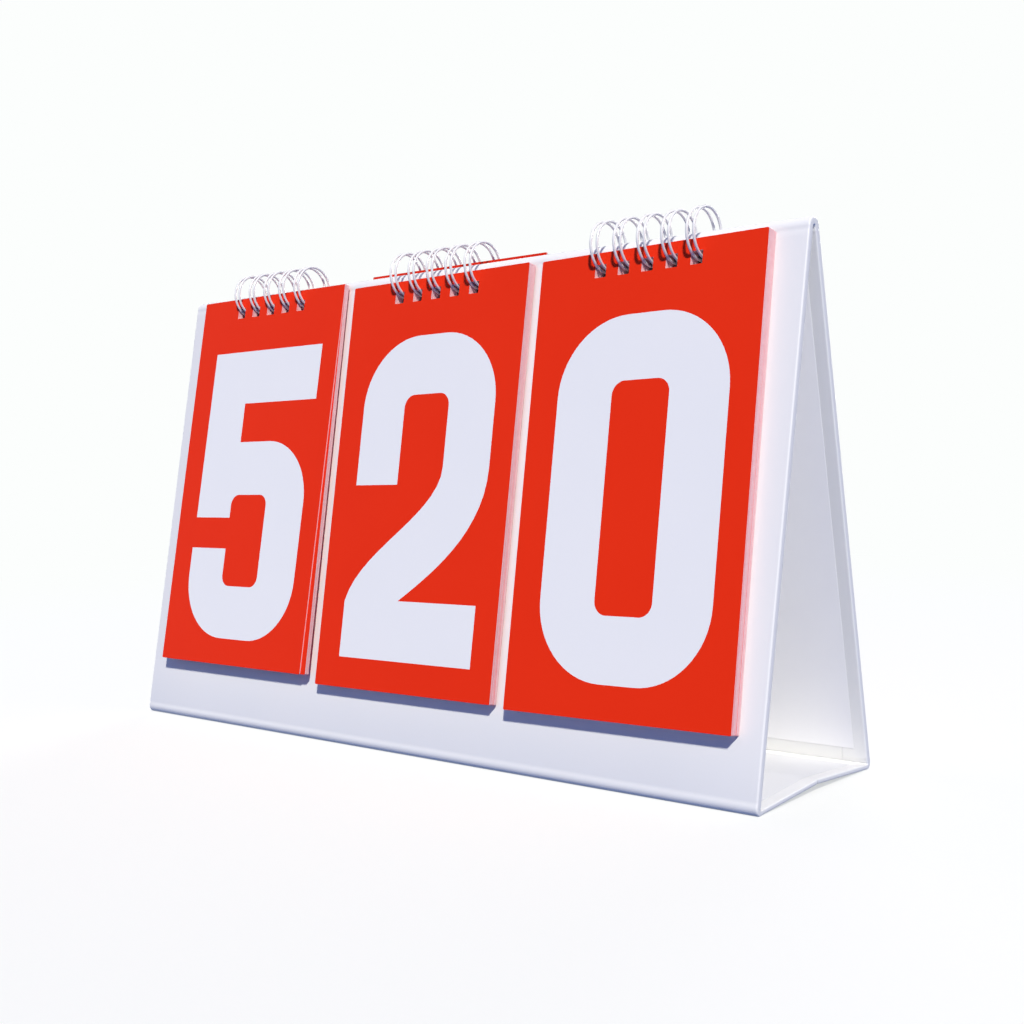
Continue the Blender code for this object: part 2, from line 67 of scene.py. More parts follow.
# Sockets of Blender's mix node when it mixes colours: the share, both colours, the result.
SHARE, FROM, TO, MIXED = 0, 6, 7, 2


class Side(Enum):
    """The two sloping faces of the stand."""

    FRONT = -1
    REAR = 1


# Each side with its sloping face and its half of the base.
HALVES = ((Side.FRONT, "front_panel", "base_front"), (Side.REAR, "rear_panel", "base_rear"))


def linear_rgb(code: str) -> tuple[float, float, float, float]:
    """Turn an sRGB hex colour into the linear values that Blender's sockets take.

    Args:
        code: The colour as "#RRGGBB".

    Returns:
        Linear red, green and blue, with an alpha of 1.
    """
    parts = [int(code[place : place + 2], 16) / 255 for place in (1, 3, 5)]
    # The standard sRGB curve: straight near black, and a power above that.
    made = [part / 12.92 if part <= 0.04045 else ((part + 0.055) / 1.055) ** 2.4 for part in parts]
    return (*made, 1.0)


def add_node(
    tree: bpy.types.NodeTree, kind: str, inputs: dict | None = None, **settings: object
) -> bpy.types.Node:
    """Add one shader node, set it and link it.

    Args:
        tree: The node tree that it goes into.
        kind: The node's Blender type.
        inputs: Values for its sockets, by name or number. An output socket is linked.
        **settings: Properties of the node itself.

    Returns:
        The new node.
    """
    node = tree.nodes.new(kind)
    for name, value in settings.items():
        setattr(node, name, value)
    for name, value in (inputs or {}).items():
        if isinstance(value, bpy.types.NodeSocket):
            tree.links.new(value, node.inputs[name])
        else:
            node.inputs[name].default_value = value
    return node


def noise_scale(size: float) -> float:
    """Noise scale, in features per metre, for features of a real size in metres."""
    return 1.0 / size


@dataclass(frozen=True)
class SheetStock:
    """A flat stock such as paper, board or coated covering.

    Its colour drifts slowly between two tones, as pulp, print and handling do, over mottles
    of a given size. Its face has a fine grain of a given size and height, which breaks up the
    highlight and lets the roughness wander between two values.
    """

    name: str
    tone: str
    other_tone: str
    mottle: float
    grain: float
    grain_height: float
    roughness: tuple[float, float]
    ior: float
    specular: float = 0.5
    stretch: tuple[float, float, float] = (1.0, 1.0, 1.0)
    grain_strength: float = 0.6

    def build(self) -> bpy.types.Material:
        """Make the material.

        Returns:
            The material, with its shader and patterns linked.
        """
        material = bpy.data.materials.new(self.name)
        material.use_nodes = True
        tree = material.node_tree
        shader = tree.nodes["Principled BSDF"]
        shader.inputs["IOR"].default_value = self.ior
        shader.inputs["Specular IOR Level"].default_value = self.specular
        place = add_node(tree, "ShaderNodeTexCoord").outputs["Object"]
        cloud = {"Vector": place, "Scale": noise_scale(self.mottle), "Detail": 4.0}
        share = add_node(tree, "ShaderNodeTexNoise", cloud).outputs["Fac"]
        tones = {SHARE: share, FROM: linear_rgb(self.tone), TO: linear_rgb(self.other_tone)}
        tone = add_node(tree, "ShaderNodeMix", tones, data_type="RGBA")
        tree.links.new(tone.outputs[MIXED], shader.inputs["Base Color"])
        drawn = add_node(tree, "ShaderNodeMapping", {"Vector": place, "Scale": self.stretch})
        fibre = {"Vector": drawn.outputs[0], "Scale": noise_scale(self.grain), "Detail": 3.0}
        grain = add_node(tree, "ShaderNodeTexNoise", fibre).outputs["Fac"]
        low, high = self.roughness
        wander = {"Value": grain, "To Min": low, "To Max": high}
        gloss = add_node(tree, "ShaderNodeMapRange", wander)
        tree.links.new(gloss.outputs["Result"], shader.inputs["Roughness"])
        relief = {"Height": grain, "Distance": self.grain_height, "Strength": self.grain_strength}
        bump = add_node(tree, "ShaderNodeBump", relief)
        tree.links.new(bump.outputs["Normal"], shader.inputs["Normal"])
        return material


class Stock(Enum):
    """Every stock on the scoreboard."""

    # White vinyl-coated paper, calendered and glued round the boards: an even satin skin
    # whose faint pebble softens the highlight. The real pebble is too fine to show here, so
    # it is drawn 0.9 mm wide.
    VINYL_COVERING = SheetStock(
        "vinyl_coated_covering", "#EAEAE9", "#E6E7E7",
        60 * MM, 0.9 * MM, 0.02 * MM, (0.38, 0.5), 1.5,
    )  # fmt: skip
    # Uncoated white endpaper inside the faces: flat and matt, with a soft pulp cloud. It is set a
    # little lighter, as painted light for the shaded insides of the faces.
    LINING_PAPER = SheetStock(
        "uncoated_lining_paper", "#F2F2F3", "#EEEEF0",
        25 * MM, 0.5 * MM, 0.02 * MM, (0.7, 0.82), 1.45,
    )  # fmt: skip
    # The same endpaper on the base, with painted shade: a darker copy that tones down the strong
    # light falling on the base from above. Flat and matt.
    BASE_LINING_PAPER = SheetStock(
        "base_lining_paper_painted_shade", "#DDDEE0", "#D9DADD",
        25 * MM, 0.5 * MM, 0.02 * MM, (0.7, 0.82), 1.45,
    )  # fmt: skip
    # Grey bookbinder's board, seen only inside the wire holes: pressed waste fibre.
    GREYBOARD = SheetStock(
        "pressed_greyboard", "#A29D94", "#8F8A82",
        3 * MM, 0.4 * MM, 0.06 * MM, (0.85, 0.95), 1.45,
    )  # fmt: skip
    # Solid red offset print under a thin film on coated card: a smooth satin colour. The
    # film's ripple is too fine to show, so it is drawn 1.2 mm wide.
    RED_PRINT = SheetStock(
        "red_offset_print_on_card", "#EC300B", "#E72C08",
        45 * MM, 1.2 * MM, 0.008 * MM, (0.46, 0.56), 1.48, specular=0.15,
    )  # fmt: skip
    # The same coated card left unprinted in the shape of the numeral, with the same ripple.
    CARD_WHITE = SheetStock(
        "coated_white_card", "#EFEFEE", "#EBECEC",
        45 * MM, 1.2 * MM, 0.008 * MM, (0.46, 0.56), 1.48, specular=0.3,
    )  # fmt: skip
    # Guillotined edge of the card: pale fibres with a little red drawn over them.
    CARD_EDGE = SheetStock(
        "guillotined_card_edge", "#F0C9CA", "#E4B2B6",
        2.5 * MM, 0.3 * MM, 0.03 * MM, (0.75, 0.88), 1.45, stretch=(1.0, 1.0, 0.15),
    )  # fmt: skip
    # White nylon powder fused on steel wire: a soft gloss with a slight orange peel, drawn
    # as coarse as it needs to show on so thin a wire.
    NYLON_COATED_WIRE = SheetStock(
        "nylon_coated_steel_wire", "#E8E8E7", "#E3E3E2",
        12 * MM, 0.6 * MM, 0.015 * MM, (0.25, 0.36), 1.53,
    )  # fmt: skip


@cache
def material_of(stock: Stock) -> bpy.types.Material:
    """The one material of a stock, made when it is first asked for."""
    return stock.value.build()


def rounded(corners: Corners, step: float = math.radians(9)) -> Outline:
    """Round the corners of a closed outline.

    Args:
        corners: Each corner's place and radius, in order round the outline.
        step: Largest turn between two points of a corner.

    Returns:
        The points of the outline.
    """
    points: Outline = []
    count = len(corners)
    for place, (x, y, radius) in enumerate(corners):
        here = Vector((x, y))
        if radius <= 0.0:
            points.append((x, y))
            continue
        back = (Vector(corners[place - 1][:2]) - here).normalized()
        on = (Vector(corners[(place + 1) % count][:2]) - here).normalized()
        half = back.angle(on) / 2
        centre = here + (back + on).normalized() * (radius / math.sin(half))
        start = here + back * (radius / math.tan(half)) - centre
        end = here + on * (radius / math.tan(half)) - centre
        turn = start.angle(end)
        steps = max(2, math.ceil(turn / step))
        for part in range(steps + 1):
            share = part / steps
            blend = start * math.sin((1 - share) * turn) + end * math.sin(share * turn)
            point = centre + blend / math.sin(turn)
            points.append((point.x, point.y))
    return points


def box_corners(left: float, top: float, right: float, foot: float, radius: float) -> Corners:
    """Corners of an upright box, all of one radius, round from its top left."""
    return [(left, top, radius), (right, top, radius), (right, foot, radius), (left, foot, radius)]


def slab_end(half: float, outer: Point, inner: Point, step: float) -> Outline:
    """Right end of a plain slab, from its half width and each side's depth and corner radius."""
    corners = [(0.0, outer[0], 0.0), (half, *outer), (half, *inner), (0.0, inner[0], 0.0)]
    return rounded(corners, step)[1:-1]


def inside(point: Point, loop: Outline) -> bool:
    """Whether a point lies inside a closed outline.

    Args:
        point: The point.
        loop: The outline.

    Returns:
        True where a ray from the point crosses the outline an odd number of times.
    """
    x, y = point
    found = False
    for (ax, ay), (bx, by) in zip(loop, loop[1:] + loop[:1]):
        if (ay > y) != (by > y) and x < (bx - ax) * (y - ay) / (by - ay) + ax:
            found = not found
    return found


def add_piece(
    name: str, shape: bmesh.types.BMesh, stocks: list[bpy.types.Material], crease: float = 32.0
) -> bpy.types.Object:
    """Turn a finished shape into a linked object with smooth shading.

    Args:
        name: The piece's name.
        shape: The shape, which is freed.
        stocks: Its materials, in the order of its faces' material numbers.
        crease: Edges that turn by more than this many degrees stay crisp.

    Returns:
        The new object.
    """
    mesh = bpy.data.meshes.new(name)
    bmesh.ops.recalc_face_normals(shape, faces=shape.faces)
    shape.to_mesh(mesh)
    shape.free()
    for stock in stocks:
        mesh.materials.append(stock)
    mesh.shade_smooth()
    mesh.set_sharp_from_angle(angle=math.radians(crease))
    made = bpy.data.objects.new(name, mesh)
    bpy.context.scene.collection.objects.link(made)
    LOG.info("%s: made with %d faces", name, len(mesh.polygons))
    return made


@dataclass(frozen=True)
class Station:
    """One place along a covered board, where its cross-section is set.

    The section's depth is measured from origin along inward, times stretch.
    """

    origin: Vector
    inward: Vector
    stretch: float = 1.0

    def at(self, x: float, depth: float) -> Vector:
        """The point at a place along the board and a depth below the skin."""
        return Vector((x, 0.0, 0.0)) + self.origin + self.inward * (depth * self.stretch)


@dataclass(frozen=True)
class Section:
    """Cross-section of a sheet or wrapped board, the same on its left and its right.

    end holds the points (x, depth) of its right end, from the outer face to the inner one.
    breaks are places along the board where both faces are split, for the wire holes.
    """

    end: Outline
    breaks: tuple[float, ...] = ()

    def loop(self) -> Outline:
        """The closed outline, outer face first, from left to right.

        Returns:
            Its points (x, depth).
        """
        outer, inner = self.end[0][1], self.end[-1][1]
        points = [(x, outer) for x in self.breaks] + list(self.end)
        points += [(x, inner) for x in reversed(self.breaks)]
        return points + [(-x, depth) for x, depth in reversed(self.end)]


@dataclass(frozen=True)
class Hole:
    """A square hole through a face, from low to high along the board and down the slope."""

    x: tuple[float, float]
    u: tuple[float, float]


def sweep(
    shape: bmesh.types.BMesh,
    section: Section,
    stations: list[Station],
    places: list[float] | None = None,
    holes: list[Hole] | None = None,
) -> None:
    """Draw a cross-section along its stations as a closed shell, leaving out the wire holes.

    Args:
        shape: What the shell is added to.
        section: The cross-section.
        stations: The places along it.
        places: How far down the slope each station is, needed only with holes.
        holes: The holes, whose edges are among the section's breaks and the places.
    """
    loop = section.loop()
    count, splits = len(loop), len(section.breaks)
    middles = [(low + high) / 2 for low, high in zip(section.breaks, section.breaks[1:])]
    rings = [[shape.verts.new(station.at(x, depth)) for x, depth in loop] for station in stations]
    # The inner face's break that lies under the outer face's first one.
    back = count - len(section.end) - 1

    def under(column: int) -> int:
        """The inner face's break that lies under one of the outer face's."""
        return back - column

    def opened(ring: int) -> set[int]:
        """The outer face's columns, after this ring, that a hole passes through.

        Args:
            ring: Number of the ring before them.

        Returns:
            The columns' numbers, none beyond either end.
        """
        if not holes or not 0 <= ring < len(stations) - 1:
            return set()
        u = (places[ring] + places[ring + 1]) / 2
        level = [hole.x for hole in holes if hole.u[0] < u < hole.u[1]]
        return {at for at, x in enumerate(middles) if any(low < x < high for low, high in level)}

    for ring, (this, after) in enumerate(zip(rings, rings[1:])):
        gone = opened(ring)
        hidden = gone | {under(column + 1) for column in gone}
        for column in range(count):
            if column not in hidden:
                on = (column + 1) % count
                shape.faces.new((this[column], this[on], after[on], after[column]))
        for column in sorted(gone):
            near, far = under(column), under(column + 1)
            if column - 1 not in gone:
                shape.faces.new((this[column], after[column], after[near], this[near]))
            if column + 1 not in gone:
                shape.faces.new((this[column + 1], this[far], after[far], after[column + 1]))
            if column not in opened(ring - 1):
                shape.faces.new((this[column], this[near], this[far], this[column + 1]))
            if column not in opened(ring + 1):
                shape.faces.new((after[column], after[column + 1], after[far], after[near]))
    for ring, turn in ((rings[0], -1), (rings[-1], 1)):
        caps = [ring]
        if splits:
            caps = [ring[splits - 1 : under(splits - 1) + 1], ring[back:] + ring[:1]]
            for column in range(splits - 1):
                near, far = under(column), under(column + 1)
                caps.append([ring[column], ring[column + 1], ring[far], ring[near]])
        for corners in caps:
            shape.faces.new(corners[::turn])


def swept_piece(name: str, stock: Stock, *runs: tuple) -> bpy.types.Object:
    """Draw a piece of one stock from its runs.

    Args:
        name: The piece's name.
        stock: What it is made of.
        *runs: What each sweep is given after the shape.

    Returns:
        The piece.
    """
    shape = bmesh.new()
    for run in runs:
        sweep(shape, *run)
    return add_piece(name, shape, [material_of(stock)])


@dataclass(frozen=True)
class StandPlan:
    """Sizes of the folding stand, and where its faces, folds and base lie."""

    width: float = 406.0 * MM
    ridge_height: float = 240.0 * MM
    foot_depth: float = 102.0 * MM
    ridge_radius: float = 4.3 * MM
    foot_radius: float = 3.6 * MM
    foot_flat_cut: float = 0.35 * MM
    crease_rise: float = 3.0 * MM
    base_skin_lift: float = 0.4 * MM

    @property
    def ridge_axis(self) -> float:
        """Height of the ridge's axis."""
        return self.ridge_height - self.ridge_radius

    @property
    def foot_axis(self) -> tuple[float, float]:
        """How far the foot axes are from the middle, and their height."""
        return self.foot_depth / 2 - self.foot_radius, self.foot_radius - self.foot_flat_cut

    @property
    def axes_apart(self) -> tuple[float, float]:
        """How far out and how far down a foot axis is from the ridge axis."""
        reach, height = self.foot_axis
        return reach, self.ridge_axis - height

    @property
    def lean(self) -> float:
        """Angle of a face from upright."""
        taper = (self.ridge_radius - self.foot_radius) / math.hypot(*self.axes_apart)
        return math.atan2(*self.axes_apart) - math.asin(taper)

    @property
    def face_length(self) -> float:
        """Length of a face between its two folds."""
        apart = math.hypot(*self.axes_apart)
        return math.sqrt(apart**2 - (self.ridge_radius - self.foot_radius) ** 2)

    @property
    def base_skin(self) -> float:
        """Distance from a foot axis down to the underside of the base."""
        return self.foot_radius - self.base_skin_lift

    @property
    def base_slope(self) -> float:
        """Angle at which each half of the base rises to the crease."""
        reach, height = self.foot_axis
        return math.atan2(self.crease_rise + self.base_skin - height, reach)

    def on_face(self, side: Side, x: float, n: float, u: float) -> Vector:
        """The point at (x, n, u) on a face.

        Args:
            side: The face.
            x: Place along the board.
            n: Distance outwards from the ridge axis.
            u: Distance down the slope.

        Returns:
            The point in the row's frame.
        """
        lean = self.lean
        y = side.value * (n * math.cos(lean) + u * math.sin(lean))
        return Vector((x, y, self.ridge_axis + n * math.sin(lean) - u * math.cos(lean)))

    def off_face(self, side: Side, point: Vector) -> tuple[float, float, float]:
        """The (x, n, u) of a point, seen from a face.

        Args:
            side: The face.
            point: The point in the row's frame.

        Returns:
            Its place on the face, the reverse of on_face.
        """
        lean = self.lean
        along, up = side.value * point.y, point.z - self.ridge_axis
        n = along * math.cos(lean) + up * math.sin(lean)
        return point.x, n, along * math.sin(lean) - up * math.cos(lean)

    def node_spots(self, side: Side, node: str) -> list[tuple[float, float, float]]:
        """The (x, n, u) of every vertex of a CAD node, seen from a face."""
        return [self.off_face(side, vertex.co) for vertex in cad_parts[node].data.vertices]

    def face_stations(self, side: Side, places: list[float]) -> list[Station]:
        """Stations down a face, at the given places down the slope.

        Args:
            side: The face.
            places: How far down the slope each station is.

        Returns:
            The stations, on the face's outer skin.
        """
        origin = self.on_face(side, 0.0, 0.0, 0.0)
        inward = origin - self.on_face(side, 0.0, 1.0, 0.0)
        return [Station(self.on_face(side, 0.0, self.ridge_radius, u), inward) for u in places]

    def ridge_stations(self, steps: int) -> list[Station]:
        """Stations over the ridge, from the front face to the rear face.

        Args:
            steps: How many steps over the fold.

        Returns:
            The stations.
        """
        start, end = math.pi - self.lean, self.lean
        axis = Vector((0.0, 0.0, self.ridge_axis))
        made = []
        for step in range(steps + 1):
            angle = start + (end - start) * step / steps
            outward = Vector((0.0, math.cos(angle), math.sin(angle)))
            made.append(Station(axis + outward * self.ridge_radius, -outward))
        return made

    def foot_stations(
        self, side: Side, steps: int, face_depth: float, base_depth: float
    ) -> list[Station]:
        """Stations round a foot, from the face to the base, flat where it meets the ground.

        Args:
            side: The face.
            steps: How many steps round the fold.
            face_depth: Thickness of the face, which the section is drawn for.
            base_depth: Thickness of the base, to which the section thins.

        Returns:
            The stations.
        """
        reach, height = self.foot_axis
        axis = Vector((0.0, side.value * reach, height))
        start, end = self.lean, -math.pi / 2 - self.base_slope
        made = []
        for step in range(steps + 1):
            share = step / steps
            angle = start + (end - start) * share
            outward = Vector((0.0, side.value * math.cos(angle), math.sin(angle)))
            # Over the last quarter of the fold, its radius shrinks to the base's.
            late = max(0.0, share * 4 - 3)
            radius = self.foot_radius + (self.base_skin - self.foot_radius) * late
            if outward.z < 0:
                radius = min(radius, height / -outward.z)
            thickness = face_depth + (base_depth - face_depth) * share
            made.append(Station(axis + outward * radius, -outward, thickness / face_depth))
        return made

    def base_stations(
        self, side: Side, places: list[float], notch: float, depth: float
    ) -> list[Station]:
        """Stations along half of the base, from its foot. The last is cut back at the crease.

        Args:
            side: Which half.
            places: Distances from the foot axis, along the base.
            notch: How far the underside is cut back at the last station.
            depth: Depth at which the cut ends.

        Returns:
            The stations.
        """
        reach, height = self.foot_axis
        slope = self.base_slope
        along = Vector((0.0, -side.value * math.cos(slope), math.sin(slope)))
        up = Vector((0.0, side.value * math.sin(slope), math.cos(slope)))
        axis = Vector((0.0, side.value * reach, height))
        made = [Station(axis + along * place - up * self.base_skin, up) for place in places]
        if notch:
            last = made.pop()
            made.append(Station(last.origin - along * notch, up + along * (notch / depth)))
        return made

    def base_reach(self, depth: float) -> float:
        """Distance along the base from a foot axis to the middle, so far above its underside."""
        slope = self.base_slope
        return (self.foot_axis[0] + math.sin(slope) * (depth - self.base_skin)) / math.cos(slope)


@dataclass(frozen=True)
class PadLayout:
    """Where the three pads sit along the board, and the square wire holes of each.

    A hole is looked for in a face's own points within search down the slope, and sideways
    within its width and a slack.
    """

    pads: tuple[str, ...] = ("left", "middle", "right")
    spacing: float = 128.05 * MM
    pitch: float = 12.7 * MM
    per_pad: int = 5
    hole: float = 6.0 * MM
    slack: float = 0.2 * MM
    search: tuple[float, float] = (0.5 * MM, 100.0 * MM)

    def middles(self) -> list[float]:
        """The middle of every pad along the board, from left to right."""
        return [(order - 1) * self.spacing for order in range(len(self.pads))]

    def row(self, middle: float) -> list[float]:
        """The middle of every hole or loop of one pad, given the pad's own middle."""
        first = middle - (self.per_pad - 1) / 2 * self.pitch
        return [first + place * self.pitch for place in range(self.per_pad)]

    def edges(self) -> list[tuple[float, float]]:
        """Both edges of every wire hole along the board."""
        reach = self.hole / 2
        return [(x - reach, x + reach) for middle in self.middles() for x in self.row(middle)]

    def read_holes(self, node: str, plan: StandPlan, side: Side) -> list[Hole]:
        """Find each hole's top and bottom in a face.

        Args:
            node: The CAD node of the face's board.
            plan: The stand.
            side: The face.

        Returns:
            The holes, from left to right.
        """
        spots = plan.node_spots(side, node)
        nearest, farthest = self.search
        found = []
        for low, high in self.edges():
            left, right = low - self.slack, high + self.slack
            runs = [u for x, _, u in spots if left < x < right and nearest < u < farthest]
            found.append(Hole((low, high), (min(runs), max(runs))))
        return found


@dataclass
class CoveredStand:
    """The folding stand: boards wrapped in white covering, lined inside and hinged by it.

    The covering is skin thick and turned in round each board's edges. It dips where it is
    scored beside a fold, and a strip of it glued inside the fold is the other half of the
    hinge. The steps are the largest turns between two points of a rounded edge.
    """

    plan: StandPlan = StandPlan()
    layout: PadLayout = PadLayout()
    skin: float = 0.35 * MM
    panel_depth: float = 3.4 * MM
    panel_parts: int = 12
    base_depth: float = 2.2 * MM
    base_parts: int = 6
    fold_steps: int = 18
    turn_in: float = 12.0 * MM
    turn_in_round: float = 0.1 * MM
    edge_round: float = 0.85 * MM
    edge_step: float = math.radians(18)
    inner_round: float = 0.6 * MM
    score_depth: float = 0.16 * MM
    score_place: float = 1.6 * MM
    score_reach: float = 0.8 * MM
    strip: float = 22.0 * MM
    strip_gap: float = 0.1 * MM
    crease_notch: float = 0.5 * MM
    crease_gap: float = 0.01 * MM
    liner: float = 0.12 * MM
    liner_gap: float = 0.05 * MM
    liner_press: float = 0.05 * MM
    liner_step: float = math.radians(30)
    liner_inset: float = 6.0 * MM
    liner_crease_gap: float = 0.02 * MM
    panel_liner_top: float = 15.0 * MM

    def wrap_end(self, depth: float) -> Outline:
        """Right end of a board's wrapped covering, rounded over the board's long edges.

        Args:
            depth: Thickness of the covered board.

        Returns:
            The end's points (x, depth), from the outer face to the inner one.
        """
        half, skin = self.plan.width / 2, self.skin
        turned = half - self.turn_in
        corners = [
            (0.0, 0.0, 0.0),
            (half, 0.0, self.edge_round),
            (half, depth, self.inner_round),
            (turned, depth, self.turn_in_round),
            (turned, depth - skin, 0.0),
            (half - skin, depth - skin, self.inner_round / 2),
            (half - skin, skin, self.edge_round / 2),
            (0.0, skin, 0.0),
        ]
        return rounded(corners, self.edge_step)[1:-1]

    def strip_end(self, depth: float) -> Outline:
        """Right end of the hinge strip glued inside a fold, between the turned-in edges."""
        half = self.plan.width / 2 - self.turn_in - self.strip_gap
        return [(half, depth - self.skin), (half, depth)]

    def score_marks(self) -> tuple[float, float]:
        """How far down a face the covering is scored beside its two folds."""
        return self.score_place, self.plan.face_length - self.score_place

    def scored(self, side: Side, places: list[float]) -> list[Station]:
        """Stations down a face, dipped where the covering is scored.

        Args:
            side: The face.
            places: How far down the slope each station is.

        Returns:
            The stations.
        """
        made = []
        for place, station in zip(places, self.plan.face_stations(side, places)):
            near = min(abs(place - mark) for mark in self.score_marks())
            dip = self.score_depth * max(0.0, 1.0 - near / self.score_reach)
            made.append(Station(station.origin + station.inward * dip, station.inward))
        return made

    def add_face(self, side: Side, name: str) -> None:
        """Wrap one sloping face, with its wire holes, and put its hinge strips inside it.

        Args:
            side: The face.
            name: The body that it rides on.
        """
        plan, depth, length = self.plan, self.panel_depth, self.plan.face_length
        holes = self.layout.read_holes(name + "_core", plan, side)
        breaks = tuple(edge for pair in self.layout.edges() for edge in pair)
        edges = {edge for hole in holes for edge in hole.u}
        reach = self.score_reach
        dips = {mark + away for mark in self.score_marks() for away in (-reach, 0.0, reach)}
        parts = {length * part / self.panel_parts for part in range(self.panel_parts + 1)}
        places = sorted(edges | dips | parts)
        high, low = sorted(edges | {0.0, self.strip}), [length - self.strip, length]
        wrap = Section(self.wrap_end(depth), breaks)
        high_strip = Section(self.strip_end(depth), breaks)
        low_strip = Section(self.strip_end(depth))
        cover = swept_piece(
            name + "_covering",
            Stock.VINYL_COVERING,
            (wrap, self.scored(side, places), places, holes),
            (high_strip, plan.face_stations(side, high), high, holes),
            (low_strip, plan.face_stations(side, low)),
        )
        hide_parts(name + "_cover")
        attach(cover, name)
        LOG.info("%s: covering wrapped, %d wire holes", name, len(holes))

    def add_base_half(self, side: Side, name: str, takes: list[str]) -> None:
        """Wrap half of the base, up to the notch scored along its crease.

        Args:
            side: Which half.
            name: The body that it rides on.
            takes: The CAD nodes that it stands for.
        """
        plan, depth = self.plan, self.base_depth
        end = plan.base_reach(depth / 2) - self.crease_gap
        places = [end * part / self.base_parts for part in range(self.base_parts + 1)]
        board = plan.base_stations(side, places, self.crease_notch, depth)
        strip = plan.base_stations(side, [0.0, self.strip], 0.0, depth)
        cover = swept_piece(
            name + "_covering",
            Stock.VINYL_COVERING,
            (Section(self.wrap_end(depth)), board),
            (Section(self.strip_end(depth)), strip),
        )
        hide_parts(*takes)
        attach(cover, name)
        LOG.info("%s: covering wrapped to the crease", name)

    def add_folds(self) -> None:
        """The covering where it bends over the ridge and round both feet."""
        covering, depths = Stock.VINYL_COVERING, (self.panel_depth, self.base_depth)
        outer, inner = (0.0, self.edge_round), (self.panel_depth, self.inner_round)
        section = Section(slab_end(self.plan.width / 2, outer, inner, self.edge_step))
        over = self.plan.ridge_stations(self.fold_steps)
        ridge = swept_piece("ridge_covering", covering, (section, over))
        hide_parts("ridge_spine")
        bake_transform(ridge)
        for side, face, base in HALVES:
            foot = side.name.lower() + "_foot"
            around = self.plan.foot_stations(side, self.fold_steps, *depths)
            fold = swept_piece(foot + "_covering", covering, (section, around))
            node = foot + "_fold"
            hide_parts(node)
            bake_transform(fold)
        LOG.info("ridge and foot folds: covering bends with the faces")

    def add_liner(
        self, name: str, body: str, stock: Stock, stations: list[Station], depth: float
    ) -> None:
        """Glue a lining paper inside a face or on the base.

        Args:
            name: The CAD node that it stands for.
            body: The body that it rides on.
            stock: The paper that it is cut from.
            stations: Its ends along the board's other direction.
            depth: Depth of its outer side below the covering's skin.
        """
        half = self.plan.width / 2 - self.liner_inset
        inner = (depth + self.liner, self.liner_press)
        section = Section(slab_end(half, (depth, 0.0), inner, self.liner_step))
        paper = swept_piece(name + "_paper", stock, (section, stations))
        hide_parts(name)
        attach(paper, body)

    def line_inside(self, side: Side, face: str, base: str) -> None:
        """Glue the lining papers inside one face and on its half of the base.

        Args:
            side: The side.
            face: The face's body.
            base: The base half's body.
        """
        plan, inset = self.plan, self.liner_inset
        depth = self.panel_depth + self.liner_gap
        ends = plan.face_stations(side, [self.panel_liner_top, plan.face_length - inset])
        self.add_liner(face + "_liner", face, Stock.LINING_PAPER, ends, depth)
        depth = self.base_depth + self.liner_gap
        crease = plan.base_reach(depth + self.liner) - self.liner_crease_gap
        ends = plan.base_stations(side, [inset, crease], 0.0, depth)
        # The base gets the darker copy of the endpaper, with painted shade.
        self.add_liner(base + "_liner", base, Stock.BASE_LINING_PAPER, ends, depth)

    def dress_boards(self) -> None:
        """Give the carried-over board nodes their greyboard."""
        for node in ("front_panel_core", "rear_panel_core", "base_front_core", "base_rear_core"):
            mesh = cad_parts[node].data
            mesh.materials.clear()
            mesh.materials.append(material_of(Stock.GREYBOARD))
            LOG.info("%s: greyboard", node)

    def build(self) -> None:
        """Build the whole stand."""
        for side, face, _ in HALVES:
            self.add_face(side, face)
        self.add_base_half(Side.FRONT, "base_front", ["base_front_cover", "base_crease"])
        self.add_base_half(Side.REAR, "base_rear", ["base_rear_cover"])
        self.add_folds()
        for side, face, base in HALVES:
            self.line_inside(side, face, base)
        self.dress_boards()
        lean = math.degrees(self.plan.lean)
        LOG.info("stand: %.1f mm along, lean %.2f degrees", self.plan.width / MM, lean)


def curve_points(start: Point, pulls: tuple[Point, Point], end: Point) -> Corners:
    """Points of a Bezier curve, as sharp corners of an outline.

    Args:
        start: Where it starts.
        pulls: The two points that it is pulled towards.
        end: Where it ends.

    Returns:
        Its points, each with a radius of 0.
    """
    steps = 14
    made = []
    for step in range(steps + 1):
        t = step / steps
        weights = ((1 - t) ** 3, 3 * t * (1 - t) ** 2, 3 * t * t * (1 - t), t**3)
        x, y = (sum(w * place for w, place in zip(weights, row)) for row in zip(start, *pulls, end))
        made.append((x, y, 0.0))
    return made


